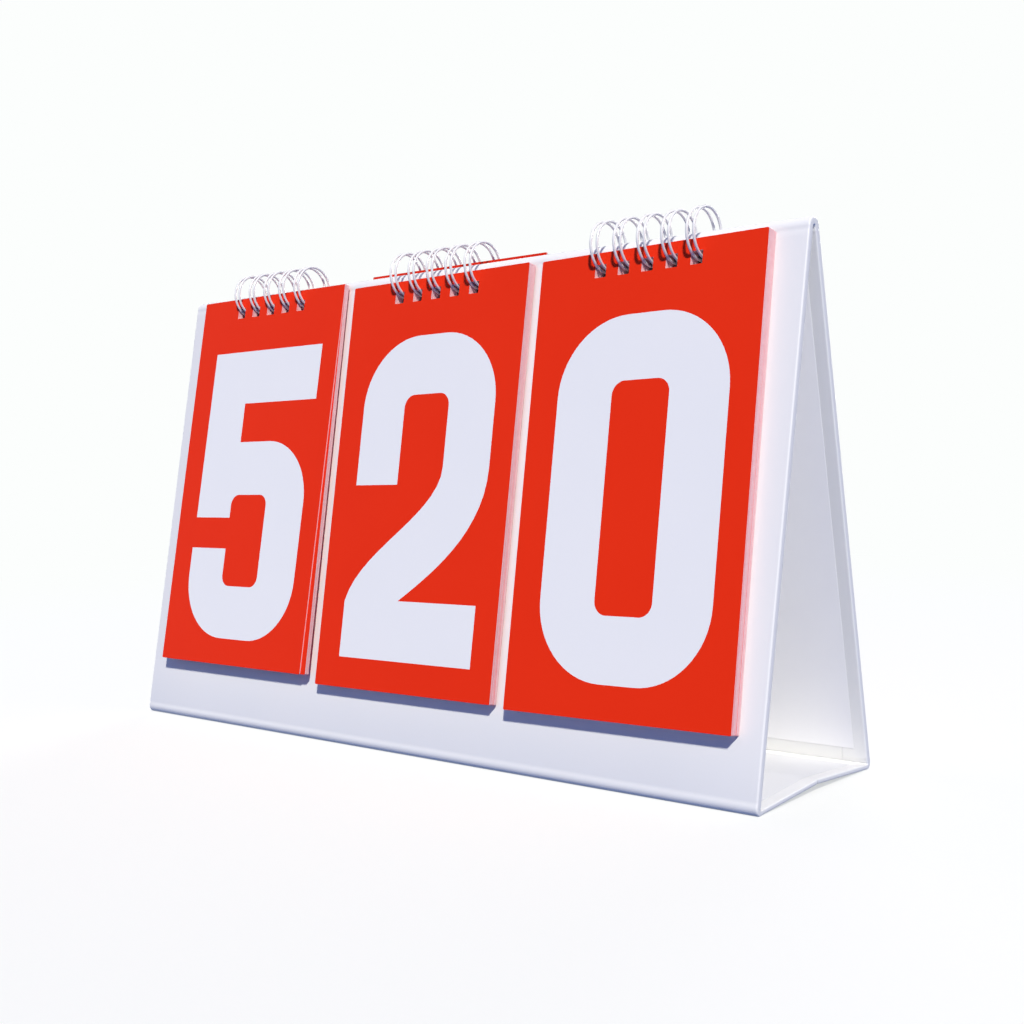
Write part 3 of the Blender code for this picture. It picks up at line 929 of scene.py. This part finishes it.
@dataclass(frozen=True)
class Numerals:
    """Bold condensed numerals, drawn in millimetres from a card's top left corner, y down."""

    left: float = 16.0
    right: float = 106.3
    top: float = 30.2
    foot: float = 193.6
    stroke: float = 29.8
    bow: float = 36.0
    counter: float = 6.5
    step: float = math.radians(6)

    def box(self, top: float, foot: float) -> Corners:
        """The open middle of a round numeral between two heights."""
        left, right = self.left + self.stroke + 0.4, self.right - self.stroke
        return box_corners(left, top, right, foot, self.counter)

    def waist(self, edge: float, dent: float) -> Corners:
        """The dent between the two bowls of a 3 or an 8 at one edge, from the top down."""
        return [(edge, 106, 12), (edge + dent, 111.8, 2), (edge, 117.6, 12)]

    def zero(self) -> list[Corners]:
        """Outlines of 0."""
        outer = box_corners(self.left, self.top, self.right, self.foot, self.bow)
        return [outer, self.box(self.top + self.stroke, self.foot - self.stroke)]

    def one(self) -> list[Corners]:
        """Outline of 1.

        Returns:
            The corners of its one outline.
        """
        t, f = self.top, self.foot
        outline = [(57, t, 0), (82, t, 0), (82, f, 0), (52, f, 0), (52, 66, 0)]
        return [outline + [(29, 73, 0), (29, 43, 0)]]

    def two(self) -> list[Corners]:
        """Outline of 2.

        Returns:
            The corners of its one outline.
        """
        l, r, t, f, b = self.left, self.right - 0.6, self.top - 0.5, self.foot, self.bow
        near, far = l + self.stroke - 0.3, r - self.stroke - 0.2
        leg = curve_points((r, 98), ((r, 130), (74, 150)), (53.8, f - self.stroke))
        hollow = curve_points((far, 97), ((far, 121), (24, 138)), (l, 165))
        outline = [(near, 105.5, 0), (l, 105.5, 0), (l, t, b), (r, t, b), *leg]
        outline += [(r - 0.4, f - self.stroke, 0), (r - 0.4, f, 0), (l, f, 0)]
        outline += list(reversed(hollow)) + [(far, 60, self.counter), (near, 60, self.counter)]
        return [outline]

    def three(self) -> list[Corners]:
        """Outline of 3.

        Returns:
            The corners of its one outline.
        """
        l, r, t, f, b, c = self.left, self.right, self.top, self.foot, self.bow, self.counter
        near, far = l + self.stroke, r - self.stroke
        return [
            [(l, 84, 0), (l, t, b), (r, t, b), *self.waist(r, -7), (r, f, b), (l, f, b)]
            + [(l, 140, 0), (near, 140, 0), (near, 163.8, c), (far, 163.8, c), (far, 126.6, c)]
            + [(54, 126.6, 0), (54, 97, 0), (far, 97, c), (far, 60, c), (near, 60, c)]
            + [(near, 84, 0)]
        ]

    def four(self) -> list[Corners]:
        """Outlines of 4.

        Returns:
            The corners of its outer outline and its counters.
        """
        t, f = self.top, self.foot
        outer = [(55, t, 0), (96, t, 0), (96, 133, 0), (107, 133, 0), (107, 161, 0), (96, 161, 0)]
        outer += [(96, f, 0), (66.5, f, 0), (66.5, 161, 0), (14.5, 161, 0), (14.5, 133, 0)]
        return [outer, [(66.5, 76, 0), (66.5, 133, 0), (43, 133, 0)]]

    def five(self) -> list[Corners]:
        """Outline of 5.

        Returns:
            The corners of its one outline.
        """
        l, r, t, f, c = self.left, self.right, self.top + 1.4, self.foot + 1.0, self.counter - 0.5
        near, far, bow = l + self.stroke - 0.2, r - self.stroke - 0.8, self.bow - 2.0
        return [
            [(l + 0.4, t, 0), (r + 0.5, t, 0), (r + 0.5, 61.8, 0), (47.2, 61.8, 0), (47.2, 84, 0)]
            + [(r, 84, bow), (r, f, bow), (l - 0.4, f, bow), (l - 0.4, 144.5, 0), (near, 144.5, 0)]
            + [(near, 165.4, c), (far, 165.4, c), (far, 114, c), (near, 114, c), (near, 127, 0)]
            + [(l, 127, 0)]
        ]

    def six(self) -> list[Corners]:
        """Outlines of 6.

        Returns:
            The corners of its outer outline and its counters.
        """
        l, r, t, f, b, c = self.left, self.right, self.top, self.foot, self.bow, self.counter
        near, far = l + self.stroke + 0.4, r - self.stroke
        outer = [(l, t, b), (r, t, b), (r, 82, 0), (far, 82, 0), (far, 60, c), (near, 60, c)]
        outer += [(near, 96.5, 0), (r, 96.5, b - 3), (r, f, b), (l, f, b)]
        return [outer, self.box(126.3, f - self.stroke)]

    def seven(self) -> list[Corners]:
        """Outline of 7.

        Returns:
            The corners of its one outline.
        """
        t, f = self.top + 0.8, self.foot
        outline = [(16, t, 0), (106.5, t, 0), (106.5, 60, 0), (68, f, 0), (36.5, f, 0)]
        return [outline + [(73.5, 61, 0), (16, 61, 0)]]

    def eight(self) -> list[Corners]:
        """Outlines of 8.

        Returns:
            The corners of its outer outline and its counters.
        """
        l, r, t, f, b = self.left, self.right, self.top, self.foot, self.bow
        outer = [(l, t, b), (r, t, b), *self.waist(r, -7), (r, f, b), (l, f, b)]
        outer += reversed(self.waist(l, 7))
        return [outer, self.box(t + self.stroke, 97), self.box(126.6, f - self.stroke)]

    def nine(self) -> list[Corners]:
        """Outlines of 9, a 6 turned half way round."""
        wide, tall = self.left + self.right, self.top + self.foot
        return [[(wide - x, tall - y, radius) for x, y, radius in loop] for loop in self.six()]

    def outlines(self, numeral: int) -> list[Outline]:
        """Outer outline and counters of a numeral, in metres.

        Args:
            numeral: From 0 to 9.

        Returns:
            Its closed outlines, the outer one first.
        """
        drawn = (
            self.zero, self.one, self.two, self.three, self.four,
            self.five, self.six, self.seven, self.eight, self.nine,
        )[numeral]()  # fmt: skip
        return [[(x * MM, y * MM) for x, y in rounded(loop, self.step)] for loop in drawn]


@dataclass
class CardPads:
    """Three pads of ten printed numeral cards, some shown in front and some turned over.

    A field with three values has one for each pad, from left to right. Cards behind the
    shown one have the stack's tilt and shear.
    """

    plan: StandPlan
    layout: PadLayout
    numerals: Numerals = Numerals()
    shown: tuple[int, ...] = (5, 2, 0)
    count: int = 10
    width: float = 119.3 * MM
    height: float = 209.0 * MM
    corner: float = 0.7 * MM
    hole_margin: float = 5.5 * MM
    hole_round: float = 0.35 * MM
    front_stock: float = 0.56 * MM
    back_stock: float = 0.32 * MM
    lattice: float = 13.0 * MM
    lattice_gap: float = 1.5 * MM
    weld: float = 1e-7
    curl: float = 0.06 * MM
    corner_curl: float = 2.2
    stray_degrees: float = 0.02
    stray_shear: float = 0.05
    shown_tilts: tuple[float, ...] = (math.radians(0.2), math.radians(0.5), math.radians(0.8))
    stack_tilts: tuple[float, ...] = (math.radians(0.3), math.radians(0.5), math.radians(0.8))
    stand_offs: tuple[float, ...] = (math.radians(0.5), 0.0, 0.0)
    drops: tuple[float, ...] = (0.2 * MM, 0.8 * MM, 0.2 * MM)
    asides: tuple[float, ...] = (0.0, 0.6 * MM, 0.3 * MM)
    shown_shears: tuple[float, ...] = (0.6 * MM, 1.8 * MM, 1.2 * MM)
    stack_shears: tuple[float, ...] = (3.8 * MM, 1.8 * MM, 1.2 * MM)
    back_lifts: tuple[float, ...] = (-0.1 * MM, 0.45 * MM, 0.0)

    def hole_loops(self) -> list[Outline]:
        """Outlines of a card's wire holes, from its top left corner.

        Returns:
            A closed outline for each hole, from left to right.
        """
        top, foot = self.hole_margin, self.hole_margin + self.layout.hole
        loops = []
        for x in self.layout.row(self.width / 2):
            low = x - self.layout.hole / 2
            high = low + self.layout.hole
            loops.append(rounded(box_corners(low, top, high, foot, self.hole_round)))
        return loops

    def face_grid(self, loops: list[Outline]) -> Outline:
        """Points spread over a card so that it can bend, clear of every outline.

        Args:
            loops: The outlines cut or printed on it.

        Returns:
            The points.
        """
        made = []
        width, height = self.width, self.height
        across, down = round(width / self.lattice), round(height / self.lattice)
        edges = [Vector(point) for loop in loops for point in loop]
        for column in range(1, across):
            for row in range(1, down):
                spot = Vector((width * column / across, height * row / down))
                if all((spot - edge).length > self.lattice_gap for edge in edges):
                    made.append((spot.x, spot.y))
        return made

    def shape_card(self, numeral: int) -> tuple[list, list, list]:
        """Cut a card's face into printed and unprinted areas.

        Args:
            numeral: The numeral left unprinted.

        Returns:
            The face's points, its triangles, and for each whether it is part of the numeral.
        """
        rim = rounded(box_corners(0, 0, self.width, self.height, self.corner))
        cuts = self.hole_loops()
        mark, *counters = self.numerals.outlines(numeral)
        loops = [rim, *cuts, mark, *counters]
        points = [Vector(point) for loop in loops for point in loop]
        edges = []
        start = 0
        for loop in loops:
            count = len(loop)
            edges += [(start + i, start + (i + 1) % count) for i in range(count)]
            start += count
        points += [Vector(point) for point in self.face_grid(loops)]
        spots, _, faces, *_ = delaunay_2d_cdt(points, edges, [], 0, self.weld)
        kept, marked = [], []
        for face in faces:
            middle = sum((spots[i] for i in face), Vector((0.0, 0.0))) / len(face)
            if not inside(middle, rim) or any(inside(middle, cut) for cut in cuts):
                continue
            kept.append(tuple(face))
            marked.append(inside(middle, mark) and not any(inside(middle, c) for c in counters))
        return [tuple(spot) for spot in spots], kept, marked

    def add_card(self, order: int, numeral: int) -> None:
        """Print, cut and hang one card where its CAD node is.

        Args:
            order: The pad's place from the left.
            numeral: The card's numeral.
        """
        pad, shown = self.layout.pads[order], self.shown[order]
        name = f"{pad}_card_{numeral}"
        width, height, margin = self.width, self.height, self.hole_margin
        in_front = numeral >= shown
        side = Side.FRONT if in_front else Side.REAR
        spots = self.plan.node_spots(side, name)
        lows, highs = (Vector([pick(axis) for axis in zip(*spots)]) for pick in (min, max))
        middle = (lows + highs) / 2
        if in_front:
            tilt = (self.shown_tilts if numeral == shown else self.stack_tilts)[order]
            shear = (self.shown_shears if numeral == shown else self.stack_shears)[order]
            stand_off, drop, shift = self.stand_offs[order], self.drops[order], self.asides[order]
        else:
            tilt, shear, stand_off, drop, shift = 0.0, 0.0, 0.0, -self.back_lifts[order], 0.0
        depth = (self.front_stock if in_front else self.back_stock) / 2
        lifted = self.curl * (self.count - numeral if in_front else numeral + 1) / self.count
        draw = random.Random(f"{pad}{numeral}")
        swing = tilt + math.radians(draw.uniform(-self.stray_degrees, self.stray_degrees))
        shear += draw.uniform(-self.stray_shear, self.stray_shear) * MM
        above = height / 2 - margin
        pivot_x = middle.x - above * math.sin(tilt) + shift
        pivot_u = middle.z - above * math.cos(tilt) + drop

        def place(x: float, y: float, printed: bool) -> Vector:
            """Where a point of the printed or the plain side hangs, from the card's top left.

            Args:
                x: How far right of the corner it is on the flat card.
                y: How far below the corner.
                printed: Whether it is on the printed side.

            Returns:
                The point in the row's frame.
            """
            bend = lifted * (y / height) ** 2 * (2 * x / width - 1) ** 2 * self.corner_curl
            out = depth if printed == in_front else -depth
            n = middle.y + bend + out + (y - height / 2) * math.sin(stand_off)
            aside, below = x - width / 2, y - margin
            across = aside * math.cos(swing) + below * math.sin(swing) + shear * y / height
            down = below * math.cos(swing) - aside * math.sin(swing)
            return self.plan.on_face(side, pivot_x + across, n, pivot_u + down)

        points, faces, marked = self.shape_card(numeral)
        stocks = (Stock.RED_PRINT, Stock.CARD_WHITE, Stock.CARD_EDGE)
        red, blank, rim = range(len(stocks))
        shape = bmesh.new()
        front = [shape.verts.new(place(x, y, True)) for x, y in points]
        back = [shape.verts.new(place(x, y, False)) for x, y in points]
        for face, white in zip(faces, marked):
            shape.faces.new([front[i] for i in face]).material_index = blank if white else red
            shape.faces.new([back[i] for i in reversed(face)]).material_index = red
        twins = dict(zip(front, back))
        for edge in [edge for edge in shape.edges if edge.is_boundary and edge.verts[0] in twins]:
            a, b = edge.verts
            shape.faces.new((a, b, twins[b], twins[a])).material_index = rim
        for vertex in [vertex for vertex in shape.verts if not vertex.link_faces]:
            shape.verts.remove(vertex)
        card = add_piece(name + "_printed", shape, [material_of(stock) for stock in stocks])
        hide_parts(name)
        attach(card, name)

    def build(self) -> None:
        """Build every card of every pad."""
        for order, pad in enumerate(self.layout.pads):
            for numeral in range(self.count):
                self.add_card(order, numeral)
            LOG.info("%s pad: %d cards, %d shown", pad, self.count, self.shown[order])


@dataclass
class TwinLoopWires:
    """Three white coated twin-loop wires that carry the pads over the ridge.

    A loop's mouth is open where its two ends meet inside the front face. A bend takes its
    share of the way to the next corner, and at a flatter corner than straight there is none.
    """

    plan: StandPlan
    layout: PadLayout
    radius: float = 11.3 * MM
    gauge: float = 0.63 * MM
    pair: float = 3.5 * MM
    mouth: float = 2.0 * MM
    foot_depth: float = 4.23 * MM
    arc_steps: int = 46
    sides: int = 14
    dome: float = 0.45
    crease: float = 60.0
    bend: float = 1.3 * MM
    bend_steps: int = 6
    straight: float = math.radians(130)
    short: float = 3 * MM
    long_share: float = 0.49
    short_share: float = 0.95
    centres: tuple[Point, ...] = (
        (-2.03 * MM, 4.0 * MM),
        (-4.35 * MM, 2.6 * MM),
        (-5.35 * MM, 2.7 * MM),
    )

    def route(self, centre: Point) -> list[Vector]:
        """Corner points of one wire's centreline, about x = 0.

        Args:
            centre: The loops' centre, behind the ridge axis and above it.

        Returns:
            The points, from the first foot to the last.
        """
        y, z = centre
        _, n, u = self.plan.off_face(Side.FRONT, Vector((0.0, y, self.plan.ridge_axis + z)))
        foot = math.acos((self.plan.ridge_radius - self.foot_depth - n) / self.radius)
        turn = 2 * math.pi - 2 * math.asin(self.mouth / self.radius / 2)
        arc = []
        for step in range(self.arc_steps + 1):
            angle = foot - turn * step / self.arc_steps
            arc.append((n + self.radius * math.cos(angle), u + self.radius * math.sin(angle)))
        points = []
        for x in self.layout.row(0.0):
            run = [(x - self.pair / 2, *spot) for spot in arc]
            run += [(x + self.pair / 2, *spot) for spot in reversed(arc)]
            points += [self.plan.on_face(Side.FRONT, *spot) for spot in run]
        return points

    def soften(self, points: list[Vector]) -> list[Vector]:
        """Bend the wire round its sharp corners in place of the corner itself.

        Args:
            points: The route's points.

        Returns:
            The route with an arc at every turn of more than 50 degrees.
        """

        def start_of_bend(way: Vector) -> Vector:
            """How far along one way from a corner its bend starts."""
            share = self.long_share if way.length > self.short else self.short_share
            return way.normalized() * min(self.bend, way.length * share)

        made = [points[0]]
        for before, here, after in zip(points, points[1:], points[2:]):
            back, on = before - here, after - here
            if back.angle(on) > self.straight:
                made.append(here)
                continue
            start, end = here + start_of_bend(back), here + start_of_bend(on)
            for step in range(self.bend_steps + 1):
                t = step / self.bend_steps
                made.append(start * (1 - t) ** 2 + here * (2 * t * (1 - t)) + end * t * t)
        made.append(points[-1])
        return made

    def draw(self, name: str, points: list[Vector]) -> bpy.types.Object:
        """Draw a round wire along a route, with domed cut ends.

        Args:
            name: The piece's name.
            points: Its centreline.

        Returns:
            The wire.
        """
        shape = bmesh.new()
        heading = (points[1] - points[0]).normalized()
        across = heading.orthogonal().normalized()
        rings = []
        for place, point in enumerate(points):
            before = points[max(0, place - 1)]
            after = points[min(len(points) - 1, place + 1)]
            ahead = (after - before).normalized()
            across = (heading.rotation_difference(ahead) @ across).normalized()
            across = (across - ahead * across.dot(ahead)).normalized()
            heading = ahead
            side = ahead.cross(across)
            ring = []
            for part in range(self.sides):
                angle = 2 * math.pi * part / self.sides
                out = across * math.cos(angle) + side * math.sin(angle)
                ring.append(shape.verts.new(point + out * self.gauge))
            rings.append(ring)
        for ring, following in zip(rings, rings[1:]):
            for part in range(self.sides):
                on = (part + 1) % self.sides
                shape.faces.new((ring[part], ring[on], following[on], following[part]))
        for place, neighbour in ((0, 1), (-1, -2)):
            ring, tip = rings[place], points[place]
            ahead = (tip - points[neighbour]).normalized()
            dome = shape.verts.new(tip + ahead * self.gauge * self.dome)
            for part in range(self.sides):
                shape.faces.new((ring[part], ring[(part + 1) % self.sides], dome))
        return add_piece(name, shape, [material_of(Stock.NYLON_COATED_WIRE)], self.crease)

    def build(self) -> None:
        """Thread the three wires."""
        pads = zip(self.layout.pads, self.layout.middles(), self.centres)
        for pad, middle, centre in pads:
            shift = Vector((middle, 0.0, 0.0))
            route = [point + shift for point in self.soften(self.route(centre))]
            wire = self.draw(pad + "_twin_loop", route)
            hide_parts(pad + "_wire")
            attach(wire, "front_panel")
            LOG.info("%s wire: %d points along its route", pad, len(route))


@dataclass(frozen=True)
class Lamp:
    """A far lamp: the direction that it shines from, its strength, softness and colour."""

    name: str
    place: tuple[float, float, float]
    energy: float
    spread: float
    colour: tuple[float, float, float]

    def build(self) -> None:
        """Hang the lamp."""
        lamp = bpy.data.lights.new(self.name, "SUN")
        lamp.energy = self.energy
        lamp.angle = self.spread
        lamp.color = self.colour
        made = bpy.data.objects.new(self.name, lamp)
        made.rotation_mode = "QUATERNION"
        made.rotation_quaternion = Vector(self.place).to_track_quat("Z", "Y")
        bpy.context.scene.collection.objects.link(made)


@dataclass
class Studio:
    """Plain pale studio: floor, soft light and the camera at the photograph's angle."""

    floor_size: float = 6.0
    floor_seen: str = "#F8F8F3"
    floor_cast: str = "#526A9C"
    fade: tuple[float, float] = (0.35, 1.2)
    near_fade: float = 0.6
    pale: str = "#FCFEFD"
    lamps: tuple[Lamp, ...] = (
        Lamp("key", (0.478, -0.53, 0.70), 3.95, math.radians(4), (1.0, 0.963, 0.875)),
        Lamp("back", (-0.35, 0.925, 0.15), 2.3, math.radians(30), (1.0, 0.97, 0.88)),
    )
    sky: str = "#7593FF"
    sky_strength: float = 0.3
    camera_place: tuple[float, float, float] = (0.46693, -0.50912, 0.14578)
    yaw: float = -39.901
    pitch: float = -4.636
    roll: float = -1.339
    sensor: float = 36.0
    lens: float = 47.209
    near: float = 0.05
    shift: tuple[float, float] = (-0.00774, 0.04946)

    def seen_rays(self, tree: bpy.types.NodeTree) -> bpy.types.NodeSocket:
        """1 for the rays that show a thing to the eye, straight or in a gloss or through glass.

        Args:
            tree: The node tree that asks.

        Returns:
            A socket with 1 for those rays and 0 for the rest.
        """
        rays = add_node(tree, "ShaderNodeLightPath")
        seen = rays.outputs["Is Camera Ray"]
        for kind in ("Is Glossy Ray", "Is Transmission Ray"):
            either = {0: seen, 1: rays.outputs[kind]}
            seen = add_node(tree, "ShaderNodeMath", either, operation="MAXIMUM").outputs[0]
        return seen

    def add_floor(self) -> None:
        """A pale floor that keeps the object's shadow and fades into the surround.

        Seen straight it is near white. To the light that bounces off it, it is a mid blue,
        which gives the shaded covering the photograph's cast.
        """
        shape = bmesh.new()
        half = self.floor_size / 2
        corners = [(-half, -half), (half, -half), (half, half), (-half, half)]
        shape.faces.new([shape.verts.new((x, y, 0.0)) for x, y in corners])
        material = bpy.data.materials.new("pale_studio_floor")
        material.use_nodes = True
        tree = material.node_tree
        tree.nodes.clear()
        seen = self.seen_rays(tree)
        tones = {SHARE: seen, FROM: linear_rgb(self.floor_cast), TO: linear_rgb(self.floor_seen)}
        tone = add_node(tree, "ShaderNodeMix", tones, data_type="RGBA")
        lit = add_node(tree, "ShaderNodeBsdfDiffuse", {"Color": tone.outputs[MIXED]})
        glow = {"Color": linear_rgb(self.pale), "Strength": 1.0}
        pale = add_node(tree, "ShaderNodeEmission", glow)
        place = {0: add_node(tree, "ShaderNodeTexCoord").outputs["Object"]}
        away = add_node(tree, "ShaderNodeVectorMath", place, operation="LENGTH")
        first, last = self.fade
        fade = {"Value": away.outputs["Value"], "From Min": first, "From Max": last}
        fade["To Min"] = self.near_fade
        faded = add_node(tree, "ShaderNodeMapRange", fade, interpolation_type="SMOOTHSTEP")
        shown = {0: faded.outputs[0], 1: seen}
        share = add_node(tree, "ShaderNodeMath", shown, operation="MULTIPLY")
        both = {0: share.outputs[0], 1: lit.outputs[0], 2: pale.outputs[0]}
        look = add_node(tree, "ShaderNodeMixShader", both)
        add_node(tree, "ShaderNodeOutputMaterial", {"Surface": look.outputs[0]})
        floor = add_piece("floor", shape, [material])

    def add_light(self) -> None:
        """A key lamp from the upper right, a soft one behind and a pale surround."""
        for lamp in self.lamps:
            lamp.build()
        world = bpy.data.worlds.new("pale_surround")
        bpy.context.scene.world = world
        world.use_nodes = True
        tree = world.node_tree
        tree.nodes.clear()
        sky = {"Color": linear_rgb(self.sky), "Strength": self.sky_strength}
        pale = {"Color": linear_rgb(self.pale), "Strength": 1.0}
        dim, bright = (add_node(tree, "ShaderNodeBackground", glow) for glow in (sky, pale))
        both = {0: self.seen_rays(tree), 1: dim.outputs[0], 2: bright.outputs[0]}
        look = add_node(tree, "ShaderNodeMixShader", both)
        add_node(tree, "ShaderNodeOutputWorld", {"Surface": look.outputs[0]})

    def add_camera(self) -> None:
        """The camera at the photograph's place, angle and framing."""
        data = bpy.data.cameras.new("photo_camera")
        data.sensor_width = self.sensor
        data.lens = self.lens
        data.shift_x, data.shift_y = self.shift
        data.clip_start = self.near
        camera = bpy.data.objects.new("photo_camera", data)
        bpy.context.scene.collection.objects.link(camera)
        yaw, pitch, roll = (math.radians(angle) for angle in (self.yaw, self.pitch, self.roll))
        flat = math.cos(pitch)
        ahead = Vector((math.sin(yaw) * flat, math.cos(yaw) * flat, math.sin(pitch)))
        level = Vector((math.cos(yaw), -math.sin(yaw), 0.0))
        upright = level.cross(ahead)
        right = level * math.cos(roll) + upright * math.sin(roll)
        up = upright * math.cos(roll) - level * math.sin(roll)
        turn = Matrix((right, up, -ahead)).transposed()
        camera.matrix_world = Matrix.Translation(self.camera_place) @ turn.to_4x4()
        bpy.context.scene.camera = camera

    def build(self) -> None:
        """Set up the studio."""
        self.add_floor()
        self.add_light()
        self.add_camera()
        bpy.context.scene.view_settings.view_transform = "Standard"
        LOG.info("studio: floor, %d lamps, surround and camera", len(self.lamps))


def main() -> None:
    """Dress the stand, print the cards, thread the wires and set up the studio."""
    logging.basicConfig(level=logging.INFO, format="%(name)s: %(message)s")
    stand = CoveredStand()
    stand.build()
    CardPads(stand.plan, stand.layout).build()
    TwinLoopWires(stand.plan, stand.layout).build()
    Studio().build()


if __name__ == "__main__":
    main()
